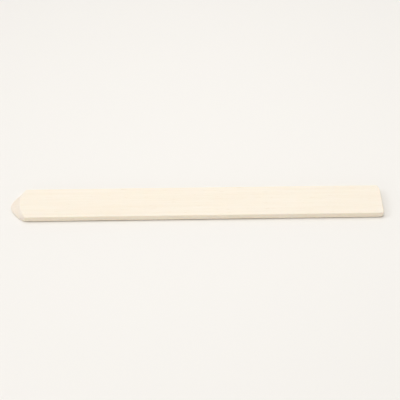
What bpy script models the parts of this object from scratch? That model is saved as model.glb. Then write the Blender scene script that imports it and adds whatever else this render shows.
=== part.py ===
"""Bone folder: a flat hand tool for creasing and burnishing paper, carved from one strip of bone.

Frame: metres, +Z up. +X runs along the length, from the rounded nose to the squared butt, and +Y
runs across the width. The origin is under the middle of the folder, which lies flat on Z = 0.
"""
import math

import bmesh
import bpy

# Driving dimensions
LENGTH = 0.200
WIDTH = 0.0214
THICKNESS = 0.0036
ARRIS_RADIUS = 0.0006      # rounding of the long edges and of the butt's edges, above and below

# Nose: an arch in plan, a quarter of a superellipse on each side of the tip
NOSE_LENGTH = 0.0091       # from the tip back to the shoulders, where the sides become parallel
FAR_EXPONENT = 1.7         # on the +Y side; 1 would be a straight-sided point, 2 an ellipse
NEAR_EXPONENT = 1.5        # on the -Y side

# Bevel: ground on the upper side of the nose, from a curved crest down to a thin edge
TIP_EDGE = 0.0006          # height of the thin edge
CREST_SETBACK = 0.0052     # from the tip back to the crest
CREST_RADIUS = 0.020       # the crest is an arc in plan
CREST_OFFSET = 0.001       # the arc is centred a little to +Y, as on a nose ground by hand

# Butt: square to the sides, each corner rounded by a quarter ellipse (its reach along X, along Y)
FAR_CORNER = (0.0019, 0.0062)
NEAR_CORNER = (0.0010, 0.0022)

# Fineness
NOSE_STEPS = 14            # outline segments from a shoulder to the tip
CORNER_STEPS = 8           # outline segments around a corner of the butt
BEVEL_STEPS = 48           # facets across the ground bevel
ARRIS_STEPS = 4            # facets around an arris

# The cutter stands off the outline by a hair and runs past the blank
HAIR = 0.00002
OVERRUN = 0.0003
CUTTER_MARGIN = 0.002

TIP_X = -LENGTH / 2
BUTT_X = LENGTH / 2
HALF_WIDTH = WIDTH / 2


def clear_scene():
    """Remove whatever objects the open file holds."""
    for item in list(bpy.data.objects):
        bpy.data.objects.remove(item, do_unlink=True)


def new_collection(name):
    """Add an empty collection to the scene."""
    collection = bpy.data.collections.new(name)
    bpy.context.scene.collection.children.link(collection)
    return collection


def bone_material():
    """Cream bone with a satin polish."""
    material = bpy.data.materials.new("bone")
    material.use_nodes = True
    shader = material.node_tree.nodes["Principled BSDF"]
    shader.inputs["Base Color"].default_value = (0.93, 0.86, 0.71, 1.0)
    shader.inputs["Roughness"].default_value = 0.42
    shader.inputs["Metallic"].default_value = 0.0
    return material


def nose_exponent(y):
    """The exponent of the superellipse on the side of the tip that y is on."""
    return FAR_EXPONENT if y > 0 else NEAR_EXPONENT


def nose_edge_x(y):
    """X of the nose's outline at y from the centre line, level past the shoulders."""
    exponent = nose_exponent(y)
    across = min(1.0, abs(y) / HALF_WIDTH)
    along = (1.0 - across**exponent) ** (1.0 / exponent)
    return TIP_X + NOSE_LENGTH * (1.0 - along)


def crest_x(y):
    """X of the crest, the arc where the ground bevel meets the flat upper face."""
    sideways = y - CREST_OFFSET
    centre_x = TIP_X + CREST_SETBACK + CREST_RADIUS
    return centre_x - math.sqrt(CREST_RADIUS**2 - sideways**2)


def bevel_x(y, z):
    """X of the ground bevel at a height z: straight lines run from the thin edge to the crest."""
    edge = nose_edge_x(y) - HAIR
    crest = max(crest_x(y), edge)
    rise = (z - TIP_EDGE) / (THICKNESS - TIP_EDGE)
    return edge + (crest - edge) * rise


def nose_points():
    """The arch from the +Y shoulder around the tip to the -Y shoulder."""
    points = []
    for step in range(NOSE_STEPS, -NOSE_STEPS - 1, -1):
        angle = math.pi / 2 * step / NOSE_STEPS
        across = math.copysign(abs(math.sin(angle)) ** (2 / nose_exponent(step)), step)
        y = HALF_WIDTH * across
        points.append((nose_edge_x(y), y))
    return points


def corner_points(reach, side, turn):
    """A quarter ellipse at a corner of the butt, on the +Y (side 1) or -Y (side -1) edge.

    turn is 1 to run from the end face to the long side, and -1 for the way back.
    """
    reach_x, reach_y = reach
    points = []
    for step in range(CORNER_STEPS + 1):
        angle = math.pi / 2 * step / CORNER_STEPS
        x = BUTT_X - reach_x * (1.0 - math.cos(angle))
        y = side * (HALF_WIDTH - reach_y * (1.0 - math.sin(angle)))
        points.append((x, y))
    return points[::turn]


def outline_points():
    """The folder's outline in plan, anticlockwise from the +Y shoulder of the nose."""
    near = corner_points(NEAR_CORNER, -1, -1)
    far = corner_points(FAR_CORNER, 1, 1)
    return nose_points() + near + far


def outline_curve(name, points, thickness):
    """A flat outline as a filled 2D curve, extruded to a thickness and standing on Z = 0."""
    curve = bpy.data.curves.new(name, "CURVE")
    curve.dimensions = "2D"
    curve.fill_mode = "BOTH"
    curve.extrude = thickness / 2
    spline = curve.splines.new("POLY")
    spline.points.add(len(points) - 1)
    for point, (x, y) in zip(spline.points, points):
        point.co = (x, y, 0.0, 1.0)
    spline.use_cyclic_u = True
    item = bpy.data.objects.new(name, curve)
    item.location.z = thickness / 2
    return item


def curve_to_mesh(curve_item, name, collection):
    """Replace a curve object by a mesh object whose caps are welded on and free of inner edges."""
    bpy.context.scene.collection.objects.link(curve_item)
    bpy.context.view_layer.update()
    evaluated = curve_item.evaluated_get(bpy.context.evaluated_depsgraph_get())
    mesh = bpy.data.meshes.new_from_object(evaluated)
    mesh.name = name
    work = bmesh.new()
    work.from_mesh(mesh)
    bmesh.ops.remove_doubles(work, verts=work.verts, dist=1e-6)
    bmesh.ops.dissolve_limit(work, angle_limit=1e-3, verts=work.verts, edges=work.edges)
    bmesh.ops.recalc_face_normals(work, faces=work.faces)
    work.to_mesh(mesh)
    work.free()
    item = bpy.data.objects.new(name, mesh)
    item.matrix_world = curve_item.matrix_world.copy()
    collection.objects.link(item)
    bpy.data.objects.remove(curve_item, do_unlink=True)
    return item


def loft(name, sections, collection):
    """A closed body through sections of equally many points, first section lowest."""
    work = bmesh.new()
    rings = [[work.verts.new(point) for point in section] for section in sections]
    for lower, upper in zip(rings, rings[1:]):
        for index in range(len(lower)):
            after = (index + 1) % len(lower)
            work.faces.new((lower[index], lower[after], upper[after], upper[index]))
    work.faces.new(rings[0][::-1])
    work.faces.new(rings[-1])
    bmesh.ops.triangulate(work, faces=work.faces)
    bmesh.ops.recalc_face_normals(work, faces=work.faces)
    mesh = bpy.data.meshes.new(name)
    work.to_mesh(mesh)
    work.free()
    item = bpy.data.objects.new(name, mesh)
    collection.objects.link(item)
    return item


def nose_waste_section(z):
    """What the grinding takes away at a height z: from the bevel out past the tip and both sides."""
    reach_y = HALF_WIDTH + CUTTER_MARGIN
    outer_x = TIP_X - CUTTER_MARGIN
    section = [(outer_x, reach_y, z), (outer_x, -reach_y, z)]
    for step in range(BEVEL_STEPS + 1):
        y = reach_y * (2 * step / BEVEL_STEPS - 1)
        section.append((bevel_x(y, z), y, z))
    return section


def nose_waste(collection):
    """The cutter for the nose's bevel, a loft between the thin edge's arch and the crest's arc."""
    heights = (TIP_EDGE - OVERRUN, THICKNESS + OVERRUN)
    waste = loft("nose_waste", [nose_waste_section(z) for z in heights], collection)
    waste.hide_render = True
    waste.display_type = "WIRE"
    return waste


def round_arrises(item):
    """Round the sharp edges above and below, leaving the outline's own shallow turns."""
    bevel = item.modifiers.new("arrises", "BEVEL")
    bevel.width = ARRIS_RADIUS
    bevel.segments = ARRIS_STEPS
    bevel.limit_method = "ANGLE"
    bevel.angle_limit = math.radians(40)


def grind_nose(item, waste):
    """Take the bevel's waste off the nose."""
    cut = item.modifiers.new("nose_bevel", "BOOLEAN")
    cut.operation = "DIFFERENCE"
    cut.object = waste
    cut.solver = "EXACT"


def folder_blade(parts, cutters):
    """The whole folder: a strip cut to outline, its arrises rounded, then its nose ground."""
    outline = outline_curve("blade_outline", outline_points(), THICKNESS)
    blade = curve_to_mesh(outline, "folder_blade", parts)
    blade.data.materials.append(bone_material())
    round_arrises(blade)
    grind_nose(blade, nose_waste(cutters))
    return blade


def main():
    clear_scene()
    parts = new_collection("bone_folder")
    cutters = new_collection("cutters")
    folder_blade(parts, cutters)


main()
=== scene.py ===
"""Looks for the bone folder: a hand-finished blade of polished bone on a pale sheet.

Everything is in metres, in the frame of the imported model: +X from the nose to the butt, +Y across
the width and +Z up, with the folder lying on Z = 0.
"""

import math

import bpy
import numpy as np
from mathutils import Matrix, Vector, noise


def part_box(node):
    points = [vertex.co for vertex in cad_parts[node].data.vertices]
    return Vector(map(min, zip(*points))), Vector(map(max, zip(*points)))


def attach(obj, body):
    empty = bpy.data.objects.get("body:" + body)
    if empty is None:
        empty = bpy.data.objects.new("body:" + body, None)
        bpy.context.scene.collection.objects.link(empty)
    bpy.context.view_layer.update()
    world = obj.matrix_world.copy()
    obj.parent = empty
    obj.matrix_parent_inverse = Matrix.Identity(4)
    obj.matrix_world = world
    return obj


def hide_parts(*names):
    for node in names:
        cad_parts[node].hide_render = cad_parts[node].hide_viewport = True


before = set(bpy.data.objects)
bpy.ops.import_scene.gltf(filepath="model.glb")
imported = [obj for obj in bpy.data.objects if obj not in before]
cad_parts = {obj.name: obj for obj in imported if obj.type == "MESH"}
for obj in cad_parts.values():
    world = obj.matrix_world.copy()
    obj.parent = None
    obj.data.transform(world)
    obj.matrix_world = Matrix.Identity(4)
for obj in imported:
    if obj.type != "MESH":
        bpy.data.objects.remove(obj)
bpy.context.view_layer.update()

NODE = "folder_blade"
LOW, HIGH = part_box(NODE)
TIP_X = LOW.x
BUTT_X = HIGH.x
HALF_WIDTH = (HIGH.y - LOW.y) / 2
THICKNESS = HIGH.z - LOW.z

# Nose in plan: a quarter of a superellipse on each side of the tip
NOSE_LENGTH = 0.0091
FAR_EXPONENT = 1.7          # on the +Y side
NEAR_EXPONENT = 1.5         # on the -Y side

# Bevel on the upper side of the nose, from the crest down to a thin edge
CREST_SETBACK = 0.0052
CREST_RADIUS = 0.020
CREST_OFFSET = 0.001
CREST_SOFTNESS = 0.00022    # how far the height is rounded off where the bevel meets the top
THIN_EDGE = 0.00070         # height of the thin edge along the nose
SHOULDER_FADE = 0.0016      # the bevel gives way to the full side where it is narrower than this
LEAST_BEVEL = 0.0002        # the bevel's slope is reckoned over no less than this
GROUND_FADE = 0.0004        # the ground finish fades out over this much, at the crest

# Butt: each corner rounded by a quarter ellipse (its reach along X, along Y)
FAR_CORNER = (0.0019, 0.0062)
NEAR_CORNER = (0.0010, 0.0022)

# Arrises, each a quarter ellipse: how far it reaches in across the face, and its height
UPPER_ARRIS = (0.00055, 0.00055)
LOWER_ARRIS = (0.0014, 0.00060)
NOSE_UPPER_ARRIS = (0.00014, 0.00014)
NOSE_LOWER_ARRIS = (0.0012, 0.00032)
NOSE_FADE = 0.0020          # the nose's arrises are whole where the bevel is wider than this
WORN_LOWER_ARRIS = (0.0014, 0.0012)     # under the butt's -Y corner
WORN_REACH = 0.0032         # how far from that corner the wear goes
ARRIS_UNEVENNESS = 0.2      # share by which a hand-made arris varies
ARRIS_NOISE = (60.0, 60.0, 0.3)         # features per metre along X and Y, and a layer of its own

# Mesh fineness
ROWS = 64                   # across the width
BEVEL_STATIONS = 16         # along the bevel
BEVEL_CROWDING = 1.4        # the power by which they crowd towards the crest
BEVEL_SPARE = 0.0009        # keeps them apart at the shoulders, where the bevel runs out
TOP_STATIONS = 230          # along the top, from the crest to the butt
FINEST_STEP = 0.12          # the shortest step between them, next to the longest
CREST_STEPS = 14            # the steps grow over this many from the crest
BUTT_STEPS = 10             # and over this many from the butt
ARC_RINGS = 6               # around each arris
FLAT_RINGS = 5              # from an arris to the inner grid
WALL_RINGS = 3
GRID_INSET = 0.0018         # the inner grid starts this far inside the outline, past every arris

# Hand finishing, all of it inward so that the folder keeps its size
CROWN = 0.00005             # the top falls this much towards its long edges
WAVE_DEPTH = 0.00004        # shallow unevenness along the top
WAVE_NOISE = (38.0, 90.0, 3.1)
FLAT_DEPTH = 0.00006        # flats that grinding leaves on the bevel
FLAT_NOISE = (330.0, 420.0, 7.7)

# What the mesh tells its material at each point, from 0 to 1
SHARES = ("side_share", "ground_share", "painted_shade_share")
PAINTED_SHADE_FROM = 0.4           # the painted shade is whole this share of the way around the lower arris
PAINTED_SHADE_TO = 0.5             # and from here on it fades towards the underside
UNDERSIDE_PAINTED_SHADE = 0.5      # of the painted shade around the arris, on the flat underside

# Bone colours (linear), and the tints that multiply them, painted light on the sides and painted shade
# under the folder among them
STREAK_DARK = (0.846, 0.779, 0.669)
STREAK_LIGHT = (0.866, 0.810, 0.714)
CLEAR = (1.0, 1.0, 1.0)
FAINT_TINT = (0.990, 0.982, 0.968)      # in the clouds and the grain
PORE_TINT = (0.84, 0.77, 0.66)
GROUND_TINT = (0.928, 0.920, 0.946)
MARK_TINT = (0.950, 0.940, 0.925)       # in the marks that grinding leaves
# painted light: lightens and warms the side walls, as light falling on them would
PAINTED_SIDE_LIGHT = (1.046, 1.028, 0.990)
PAINTED_SHADE_TINT = (0.90, 0.80, 0.67)        # painted shade: a warm darkening around the lower arris, fainter on the underside

# Bone noises: features per metre along X, Y and Z, then detail and roughness
STREAKS = ((13.0, 650.0, 650.0), 5.0, 0.55)
GRAIN = ((90.0, 2600.0, 2600.0), 3.0, 0.6)
CLOUDS = ((30.0, 75.0, 75.0), 2.0, 0.5)
PORES = ((190.0, 5200.0, 5200.0), 1.5, 0.5)
SCRATCHES = ((60.0, 9000.0, 9000.0), 3.0, 0.7)
GRINDING = ((7000.0, 420.0, 420.0), 2.0, 0.6)

# Over what values each noise goes from its darker colour to its lighter one
STREAK_RANGE = (0.30, 0.70)
CLOUD_RANGE = (0.25, 0.75)
GRAIN_RANGE = (0.35, 0.65)
PORE_RANGE = (0.22, 0.31)

# Over what values the tint of the grinding marks comes in
MARK_RANGE = (0.40, 0.60)

# Bone surface
SUBSURFACE_WEIGHT = 0.15
SUBSURFACE_RADIUS = (1.0, 0.7, 0.45)
SUBSURFACE_SCALE = 0.0012
BONE_IOR = 1.5
SPECULAR_LEVEL = 0.35
SATIN = (0.34, 0.50)        # roughness from one streak to another
HANDLED_CHANGE = -0.08      # to the roughness, half-way around an arris
GROUND_CHANGE = 0.10        # to the roughness, on the ground bevel
SCRATCH_HEIGHT = 0.6        # next to a pore's depth
BUMP_STRENGTH = 0.25
BUMP_DISTANCE = 0.00003

# Camera: distance and aim in metres, angles in degrees, lens in millimetres on a 36 mm sensor
CAMERA_AZIMUTH = -1.05
CAMERA_ELEVATION = 45.0
CAMERA_DISTANCE = 0.618
CAMERA_AIM = (0.0020, 0.0042, 0.0)
CAMERA_LENS = 102.4
CAMERA_NEAR = 0.01          # nothing nearer than this is drawn
SENSOR_WIDTH = 36.0

# Floor
FLOOR_COLOUR = (0.816, 0.803, 0.779)
FLOOR_ROUGHNESS = 0.9
FLOOR_SPECULAR_LEVEL = 0.1
FLOOR_SIZE = 6.0
FLOOR_GAP = 0.00002         # the sheet lies this far under the folder

# Room: pale walls up to one height, a darker ceiling from another (the sine of the elevation)
WARM_WHITE = (1.0, 0.985, 0.965)
ROOM_STRENGTH = 0.98
WALL_TOP = 0.25
CEILING_START = 0.60
CEILING_SHARE = 0.13        # of the walls' brightness

# Lights: place, power, and angle in degrees or size in metres
OVERHEAD_SUN = ((0.0, 0.20, 1.0), 1.46, 80)
LEFT_SUN = ((-1.1, 0.0, 0.9), 0.71, 24)
UPPER_BOX = ((0.0, 0.06, 0.50), 0.74, (0.36, 0.30))
FRONT_BOX = ((-0.32, -0.42, 0.18), 0.20, (0.20, 0.15))


def smooth_step(low, high, value):
    """0 below low, 1 above high, with an even curve between."""
    share = np.clip((value - low) / (high - low), 0.0, 1.0)
    return share * share * (3.0 - 2.0 * share)


def smooth_min(a, b, width):
    """The lower of two heights, rounded off where they are within width of each other."""
    share = np.clip(0.5 + 0.5 * (b - a) / width, 0.0, 1.0)
    return b + (a - b) * share - width * share * (1.0 - share)


def between(start, end, share):
    """The value at a share of the way from start to end."""
    return start + (end - start) * share


def nose_edge_x(y):
    """X of the nose's outline at Y, level past the shoulders."""
    exponent = np.where(y > 0, FAR_EXPONENT, NEAR_EXPONENT)
    across = np.minimum(1.0, np.abs(y) / HALF_WIDTH)
    along = (1.0 - across**exponent) ** (1.0 / exponent)
    return TIP_X + NOSE_LENGTH * (1.0 - along)


def crest_x(y):
    """X of the arc where the bevel meets the top."""
    centre = TIP_X + CREST_SETBACK + CREST_RADIUS
    return centre - np.sqrt(CREST_RADIUS**2 - (y - CREST_OFFSET) ** 2)


def butt_edge_x(y):
    """X of the butt's outline at Y: straight, then a quarter ellipse at each corner."""
    result = np.full_like(y, BUTT_X)
    for side, (reach_x, reach_y) in ((1, FAR_CORNER), (-1, NEAR_CORNER)):
        into = np.clip((side * y - (HALF_WIDTH - reach_y)) / reach_y, 0.0, 1.0)
        result -= reach_x * (1.0 - np.sqrt(1.0 - into**2))
    return result


def bevel_width(y):
    """How far the bevel reaches back at Y, from the thin edge to the crest; 0 past the shoulders."""
    return np.maximum(0.0, crest_x(y) - nose_edge_x(y))


def top_height(x, y):
    """Height of the upper side before its arrises are rounded."""
    width = bevel_width(y)
    thin = between(THICKNESS, THIN_EDGE, smooth_step(0.0, SHOULDER_FADE, width))
    slope = (THICKNESS - thin) / np.maximum(width, LEAST_BEVEL)
    bevel = thin + slope * (x - nose_edge_x(y))
    crown = CROWN * (y / HALF_WIDTH) ** 2
    return smooth_min(THICKNESS - crown, bevel, CREST_SOFTNESS)


def ground_share(x, y):
    """1 on the ground bevel, 0 on the polished top."""
    return smooth_step(0.0, GROUND_FADE, crest_x(y) - x)


def uneven_noise(x, y, kind):
    """Smooth noise at each point, about -0.5 to 0.5; layers are unlike one another."""
    scale_x, scale_y, layer = kind
    places = [Vector((a * scale_x, b * scale_y, layer)) for a, b in zip(x, y)]
    return np.array([noise.noise(place) for place in places])


def unevenness(x, y):
    """Shallow waves along the top and small flats on the bevel, from 0 down."""
    waves = WAVE_DEPTH * (0.5 + uneven_noise(x, y, WAVE_NOISE))
    flats = FLAT_DEPTH * (0.5 + uneven_noise(x, y, FLAT_NOISE))
    return -np.maximum(0.0, waves + flats * ground_share(x, y))


def arris_sizes(loop):
    """Reach and height of the upper and of the lower arris at each point of the outline."""
    x, y = loop[:, 0], loop[:, 1]
    on_nose = smooth_step(0.0, NOSE_FADE, bevel_width(y)) * (x < TIP_X + NOSE_LENGTH)
    worn = 1.0 - smooth_step(0.0, WORN_REACH, np.hypot(x - BUTT_X, y + HALF_WIDTH))
    uneven = 1.0 + ARRIS_UNEVENNESS * uneven_noise(x, y, ARRIS_NOISE)
    upper = []
    for side, nose in zip(UPPER_ARRIS, NOSE_UPPER_ARRIS):
        upper.append(between(side, nose, on_nose) * uneven)
    lower = []
    for side, nose, corner in zip(LOWER_ARRIS, NOSE_LOWER_ARRIS, WORN_LOWER_ARRIS):
        lower.append(between(between(side, nose, on_nose), corner, worn) / uneven)
    return upper, lower


def arris_drop(around, height):
    """How far an arris falls at a share of the way around it, from the side (0) to the flat (1)."""
    return height * (1.0 - math.sin(around * math.pi / 2))


def row_positions():
    """Y of the rows on the outline, closer together near the long edges."""
    return HALF_WIDTH * np.sin(np.linspace(-math.pi / 2, math.pi / 2, ROWS + 1))


def inset_points(points, inset):
    """Outline points moved inward, towards the spine that ends a half-width from each end."""
    spine_x = np.clip(points[:, 0], TIP_X + HALF_WIDTH, BUTT_X - HALF_WIDTH)
    keep = 1.0 - np.asarray(inset) / HALF_WIDTH
    return np.column_stack([spine_x + (points[:, 0] - spine_x) * keep, points[:, 1] * keep])


def station_shares():
    """Shares of the way from the crest to the butt, finest next to both."""
    step = np.arange(TOP_STATIONS) + 0.5
    growth = smooth_step(0, CREST_STEPS, step) * smooth_step(0, BUTT_STEPS, TOP_STATIONS - step)
    size = between(FINEST_STEP, 1.0, growth)
    return np.concatenate([[0.0], np.cumsum(size) / size.sum()])


def inner_grid():
    """X and Y of the inner grid: stations from nose to butt by rows from -Y to +Y."""
    rows = row_positions()
    nose = inset_points(np.column_stack([nose_edge_x(rows), rows]), GRID_INSET)
    butt = inset_points(np.column_stack([butt_edge_x(rows), rows]), GRID_INSET)
    y = nose[:, 1]
    beyond = crest_x(y) - nose[:, 0]
    gap = 0.5 * (beyond + np.hypot(beyond, BEVEL_SPARE))
    bevel_shares = 1.0 - np.linspace(1, 0, BEVEL_STATIONS + 1) ** BEVEL_CROWDING
    crest = nose[:, 0] + gap
    on_bevel = nose[:, 0] + gap * bevel_shares[:, None]
    on_top = crest + (butt[:, 0] - crest) * station_shares()[:, None]
    x = np.vstack([on_bevel, on_top[1:]])
    return x, np.broadcast_to(y, x.shape)


def side_points(grid_row, y):
    """Outline points along a long side, in line with an outer row of the inner grid."""
    spine_x = np.clip(grid_row, TIP_X + HALF_WIDTH, BUTT_X - HALF_WIDTH)
    x = spine_x + (grid_row - spine_x) / (1.0 - GRID_INSET / HALF_WIDTH)
    return np.column_stack([x, np.full_like(x, y)])


def outline_loop(grid_x):
    """Outline points anticlockwise: nose from +Y to -Y, near side, butt from -Y to +Y, far side."""
    rows = row_positions()
    nose = np.column_stack([nose_edge_x(rows), rows])[::-1]
    butt = np.column_stack([butt_edge_x(rows), rows])
    near = side_points(grid_x[1:-1, 0], -HALF_WIDTH)
    far = side_points(grid_x[1:-1, -1], HALF_WIDTH)[::-1]
    return np.vstack([nose, near, butt, far])


def rim_of_grid(stations, rows):
    """Indices of the inner grid's rim, in the outline's order."""
    last_station, last_row = stations - 1, rows - 1
    nose = [(0, row) for row in range(last_row, -1, -1)]
    near = [(station, 0) for station in range(1, last_station)]
    butt = [(last_station, row) for row in range(rows)]
    far = [(station, last_row) for station in range(last_station - 1, 0, -1)]
    return [station * rows + row for station, row in nose + near + butt + far]


def upper_surface(points, drop, side):
    """Rows of x, y and z and of the side, ground and painted shade shares, on the upper side."""
    x, y = points[:, 0], points[:, 1]
    z = top_height(x, y) + unevenness(x, y) - drop
    none = np.zeros(x.size)
    return np.column_stack([x, y, z, none + side, ground_share(x, y), none])


def lower_surface(points, drop, side):
    """Rows of x, y and z and of the side, ground and painted shade shares, on the lower side."""
    none = np.zeros(len(points))
    around = 1.0 - side
    # painted shade: a warm darkening, whole part of the way around the lower arris and fainter on the
    # flat underside
    paling = between(1.0, UNDERSIDE_PAINTED_SHADE, smooth_step(PAINTED_SHADE_TO, 1.0, around))
    painted_shade = smooth_step(0.0, PAINTED_SHADE_FROM, around) * paling
    return np.column_stack([points, none + drop, none + side, none, none + painted_shade])


def rim_rings(loop, arris, surface):
    """Rings from the wall inward: around the arris, then across the flat to the inner grid."""
    reach, height = arris
    rings = []
    for step in range(ARC_RINGS + 1):
        around = step / ARC_RINGS
        inset = reach * (1.0 - math.cos(around * math.pi / 2))
        rings.append(surface(inset_points(loop, inset), arris_drop(around, height), 1.0 - around))
    for step in range(1, FLAT_RINGS):
        inset = between(reach, GRID_INSET, step / FLAT_RINGS)
        rings.append(surface(inset_points(loop, inset), 0.0, 0.0))
    return rings


def blade_rings(loop):
    """All rings from the upper inner grid, over the rim and down the wall, to the lower inner grid."""
    upper_arris, lower_arris = arris_sizes(loop)
    upper = rim_rings(loop, upper_arris, upper_surface)
    lower = rim_rings(loop, lower_arris, lower_surface)
    shares = [(step + 1) / (WALL_RINGS + 1) for step in range(WALL_RINGS)]
    walls = [between(upper[0], lower[0], share) for share in shares]
    return upper[::-1] + walls + lower


def grid_faces(stations, rows, start, facing_up):
    """Faces of an inner grid whose first vertex has the index start."""
    faces = []
    for station in range(stations - 1):
        for row in range(rows - 1):
            corner = start + station * rows + row
            face = (corner, corner + rows, corner + rows + 1, corner + 1)
            faces.append(face if facing_up else face[::-1])
    return faces


def band_faces(loops):
    """Faces between each loop of vertices and the next one outward or downward."""
    faces = []
    for inner, outer in zip(loops, loops[1:]):
        for here in range(len(inner)):
            after = (here + 1) % len(inner)
            faces.append((inner[here], outer[here], outer[after], inner[after]))
    return faces


def blade_mesh(rows_of_values, faces):
    """A smooth mesh that carries the side, ground and painted shade shares for its material."""
    mesh = bpy.data.meshes.new("polished_blade")
    mesh.from_pydata(rows_of_values[:, :3].tolist(), [], faces)
    for name, values in zip(SHARES, rows_of_values[:, 3:].T):
        attribute = mesh.attributes.new(name, "FLOAT", "POINT")
        attribute.data.foreach_set("value", values.astype(np.float32))
    mesh.shade_smooth()
    return mesh


def build_blade():
    """The blade's fine mesh: an inner grid above and below, joined by rings around the rim."""
    grid_x, grid_y = inner_grid()
    stations, rows = grid_x.shape
    grid_points = np.column_stack([grid_x.ravel(), grid_y.ravel()])
    loop = outline_loop(grid_x)
    rings = blade_rings(loop)
    top = upper_surface(grid_points, 0.0, 0.0)
    under = lower_surface(grid_points, 0.0, 0.0)

    first_ring = len(top)
    first_under = first_ring + len(rings) * len(loop)
    rim = rim_of_grid(stations, rows)
    loops = [rim]
    loops += [range(first_ring + number * len(loop), first_ring + (number + 1) * len(loop))
              for number in range(len(rings))]
    loops.append([first_under + index for index in rim])
    faces = grid_faces(stations, rows, 0, True)
    faces += grid_faces(stations, rows, first_under, False)
    faces += band_faces(loops)

    blade = bpy.data.objects.new("polished_blade", blade_mesh(np.vstack([top, *rings, under]), faces))
    bpy.context.scene.collection.objects.link(blade)
    return blade


def stretched_noise(tree, scale, detail, roughness):
    """Noise that is fixed to the folder, at a scale of its own along X, Y and Z."""
    place = tree.nodes.new("ShaderNodeTexCoord")
    mapping = tree.nodes.new("ShaderNodeMapping")
    mapping.inputs["Scale"].default_value = scale
    tree.links.new(place.outputs["Object"], mapping.inputs["Vector"])
    texture = tree.nodes.new("ShaderNodeTexNoise")
    texture.inputs["Scale"].default_value = 1.0
    texture.inputs["Detail"].default_value = detail
    texture.inputs["Roughness"].default_value = roughness
    tree.links.new(mapping.outputs["Vector"], texture.inputs["Vector"])
    return texture.outputs["Fac"]


def mesh_share(tree, name):
    """A share that the mesh carries at its points."""
    node = tree.nodes.new("ShaderNodeAttribute")
    node.attribute_name = name
    return node.outputs["Fac"]


def ramp(tree, value, limits, colours):
    """A colour that goes from the first to the second while a value goes from limit to limit."""
    node = tree.nodes.new("ShaderNodeValToRGB")
    for element, position, colour in zip(node.color_ramp.elements, limits, colours):
        element.position = position
        element.color = (*colour, 1.0)
    tree.links.new(value, node.inputs["Fac"])
    return node.outputs["Color"]


def multiplier(tree, colour):
    """A node that multiplies a colour by another one."""
    mix = tree.nodes.new("ShaderNodeMix")
    mix.data_type = "RGBA"
    mix.blend_type = "MULTIPLY"
    tree.links.new(colour, mix.inputs["A"])
    return mix


def multiply_colours(tree, first, second):
    """The product of two colours."""
    mix = multiplier(tree, first)
    mix.inputs["Factor"].default_value = 1.0
    tree.links.new(second, mix.inputs["B"])
    return mix.outputs["Result"]


def tint_where(tree, colour, tint, share):
    """A colour multiplied by a tint where a share says so."""
    mix = multiplier(tree, colour)
    mix.inputs["B"].default_value = (*tint, 1.0)
    tree.links.new(share, mix.inputs["Factor"])
    return mix.outputs["Result"]


def map_range(tree, value, source, target):
    """Carry a value from one range over to another, held at both ends."""
    node = tree.nodes.new("ShaderNodeMapRange")
    node.inputs["From Min"].default_value, node.inputs["From Max"].default_value = source
    node.inputs["To Min"].default_value, node.inputs["To Max"].default_value = target
    tree.links.new(value, node.inputs["Value"])
    return node.outputs["Result"]


def calculate(tree, operation, *values):
    """A math node on sockets or numbers."""
    node = tree.nodes.new("ShaderNodeMath")
    node.operation = operation
    for socket, value in zip(node.inputs, values):
        if isinstance(value, (int, float)):
            socket.default_value = value
        else:
            tree.links.new(value, socket)
    return node.outputs["Value"]


def bone_colour(tree, shares, streaks, pores, ground_marks):
    """Cream streaks, dimmed by clouds, grain and pores, tinted on the ground bevel and its marks,
    lightened on the side walls by painted light, and darkened around the lower arris and on the
    underside by painted shade.
    """
    side, ground, painted_shade = shares
    colour = ramp(tree, streaks, STREAK_RANGE, (STREAK_DARK, STREAK_LIGHT))
    for value, limits, tint in (
        (stretched_noise(tree, *CLOUDS), CLOUD_RANGE, FAINT_TINT),
        (stretched_noise(tree, *GRAIN), GRAIN_RANGE, FAINT_TINT),
        (pores, PORE_RANGE, PORE_TINT),
    ):
        colour = multiply_colours(tree, colour, ramp(tree, value, limits, (tint, CLEAR)))
    marks = map_range(tree, ground_marks, MARK_RANGE, (0.0, 1.0))
    colour = tint_where(tree, colour, GROUND_TINT, ground)
    colour = tint_where(tree, colour, MARK_TINT, marks)
    # painted light on the side walls
    colour = tint_where(tree, colour, PAINTED_SIDE_LIGHT, side)
    # painted shade around the lower arris and, fainter, on the underside
    return tint_where(tree, colour, PAINTED_SHADE_TINT, painted_shade)


def bone_roughness(tree, shares, streaks):
    """Satin; handling has polished the arrises, and grinding has left the bevel duller."""
    side, ground, _ = shares
    satin = map_range(tree, streaks, (0.0, 1.0), SATIN)
    half_on_arris = calculate(tree, "PINGPONG", side, 0.5)
    handled = calculate(tree, "MULTIPLY_ADD", half_on_arris, 2 * HANDLED_CHANGE, satin)
    return calculate(tree, "MULTIPLY_ADD", ground, GROUND_CHANGE, handled)


def bone_bump(tree, pores, ground_marks):
    """Sunk pores, fine lengthwise scratches, and the marks that grinding left."""
    scratches = stretched_noise(tree, *SCRATCHES)
    pits = map_range(tree, pores, PORE_RANGE, (0.0, 1.0))
    height = calculate(tree, "MULTIPLY_ADD", scratches, SCRATCH_HEIGHT, pits)
    bump = tree.nodes.new("ShaderNodeBump")
    bump.inputs["Strength"].default_value = BUMP_STRENGTH
    bump.inputs["Distance"].default_value = BUMP_DISTANCE
    tree.links.new(calculate(tree, "ADD", height, ground_marks), bump.inputs["Height"])
    return bump.outputs["Normal"]


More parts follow.
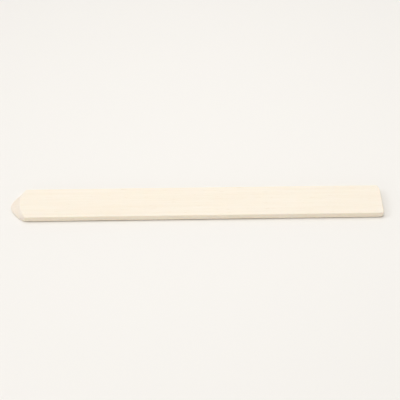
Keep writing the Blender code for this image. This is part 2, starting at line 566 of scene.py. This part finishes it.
def bone_material():
    """Polished bone, with a little light going through its surface."""
    material = bpy.data.materials.new("polished_bone")
    material.use_nodes = True
    tree = material.node_tree
    shader = tree.nodes["Principled BSDF"]
    shader.inputs["Subsurface Weight"].default_value = SUBSURFACE_WEIGHT
    shader.inputs["Subsurface Radius"].default_value = SUBSURFACE_RADIUS
    shader.inputs["Subsurface Scale"].default_value = SUBSURFACE_SCALE
    shader.inputs["IOR"].default_value = BONE_IOR
    shader.inputs["Specular IOR Level"].default_value = SPECULAR_LEVEL

    shares = [mesh_share(tree, name) for name in SHARES]
    streaks = stretched_noise(tree, *STREAKS)
    pores = stretched_noise(tree, *PORES)
    ground_marks = calculate(tree, "MULTIPLY", stretched_noise(tree, *GRINDING), shares[1])
    colour = bone_colour(tree, shares, streaks, pores, ground_marks)
    tree.links.new(colour, shader.inputs["Base Color"])
    tree.links.new(bone_roughness(tree, shares, streaks), shader.inputs["Roughness"])
    tree.links.new(bone_bump(tree, pores, ground_marks), shader.inputs["Normal"])
    return material


def sheet_material():
    """A plain pale sheet."""
    material = bpy.data.materials.new("pale_sheet")
    material.use_nodes = True
    shader = material.node_tree.nodes["Principled BSDF"]
    shader.inputs["Base Color"].default_value = (*FLOOR_COLOUR, 1.0)
    shader.inputs["Roughness"].default_value = FLOOR_ROUGHNESS
    shader.inputs["Specular IOR Level"].default_value = FLOOR_SPECULAR_LEVEL
    return material


def add_floor():
    """The sheet that the folder lies on."""
    bpy.ops.mesh.primitive_plane_add(size=FLOOR_SIZE, location=(0.0, 0.0, LOW.z - FLOOR_GAP))
    floor = bpy.context.active_object
    floor.name = "floor"
    floor.data.materials.append(sheet_material())


def aim(item, target):
    """Turn a light or a camera at a place so that it looks at a target."""
    item.rotation_euler = (Vector(target) - item.location).to_track_quat("-Z", "Y").to_euler()


def add_light(name, kind, place, power):
    """A light that looks at the origin; power is in watts, or in watts per square metre for a sun."""
    light = bpy.data.lights.new(name, kind)
    light.energy = power
    light.color = WARM_WHITE
    item = bpy.data.objects.new(name, light)
    item.location = place
    item.visible_camera = False
    bpy.context.scene.collection.objects.link(item)
    aim(item, (0.0, 0.0, 0.0))
    return light


def add_pale_room():
    """Light from all around: pale walls, with a darker ceiling."""
    world = bpy.data.worlds.new("pale_room")
    bpy.context.scene.world = world
    world.use_nodes = True
    tree = world.node_tree
    place = tree.nodes.new("ShaderNodeTexCoord")
    parts = tree.nodes.new("ShaderNodeSeparateXYZ")
    tree.links.new(place.outputs["Generated"], parts.inputs["Vector"])
    ceiling = tuple(CEILING_SHARE * value for value in WARM_WHITE)
    colour = ramp(tree, parts.outputs["Z"], (WALL_TOP, CEILING_START), (WARM_WHITE, ceiling))
    background = tree.nodes["Background"]
    background.inputs["Strength"].default_value = ROOM_STRENGTH
    tree.links.new(colour, background.inputs["Color"])


def add_soft_sun(name, place, power, angle):
    """A light as even as the sun's, but from a broad patch of sky; its angle is in degrees."""
    light = add_light(name, "SUN", place, power)
    light.angle = math.radians(angle)


def add_soft_box(name, place, power, size):
    """A rectangular light."""
    light = add_light(name, "AREA", place, power)
    light.shape = "RECTANGLE"
    light.size, light.size_y = size


def add_studio():
    """Broad light from overhead, a little from the left, and soft boxes over and before the folder."""
    add_pale_room()
    add_soft_sun("overhead", *OVERHEAD_SUN)
    add_soft_sun("from_left", *LEFT_SUN)
    add_soft_box("over_folder", *UPPER_BOX)
    add_soft_box("before_folder", *FRONT_BOX)
    view = bpy.context.scene.view_settings
    view.view_transform = "Standard"
    view.look = "None"


def add_camera():
    """A camera that looks down at the folder from in front of its -Y side."""
    azimuth = math.radians(CAMERA_AZIMUTH)
    elevation = math.radians(CAMERA_ELEVATION)
    back = Vector((
        math.sin(azimuth) * math.cos(elevation),
        -math.cos(azimuth) * math.cos(elevation),
        math.sin(elevation),
    ))
    camera = bpy.data.cameras.new("camera")
    camera.lens = CAMERA_LENS
    camera.sensor_width = SENSOR_WIDTH
    camera.clip_start = CAMERA_NEAR
    item = bpy.data.objects.new("camera", camera)
    item.location = Vector(CAMERA_AIM) + back * CAMERA_DISTANCE
    bpy.context.scene.collection.objects.link(item)
    aim(item, CAMERA_AIM)
    bpy.context.scene.camera = item


add_camera()
add_studio()
add_floor()
blade = build_blade()
blade.data.materials.append(bone_material())
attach(blade, "root")
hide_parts(NODE)
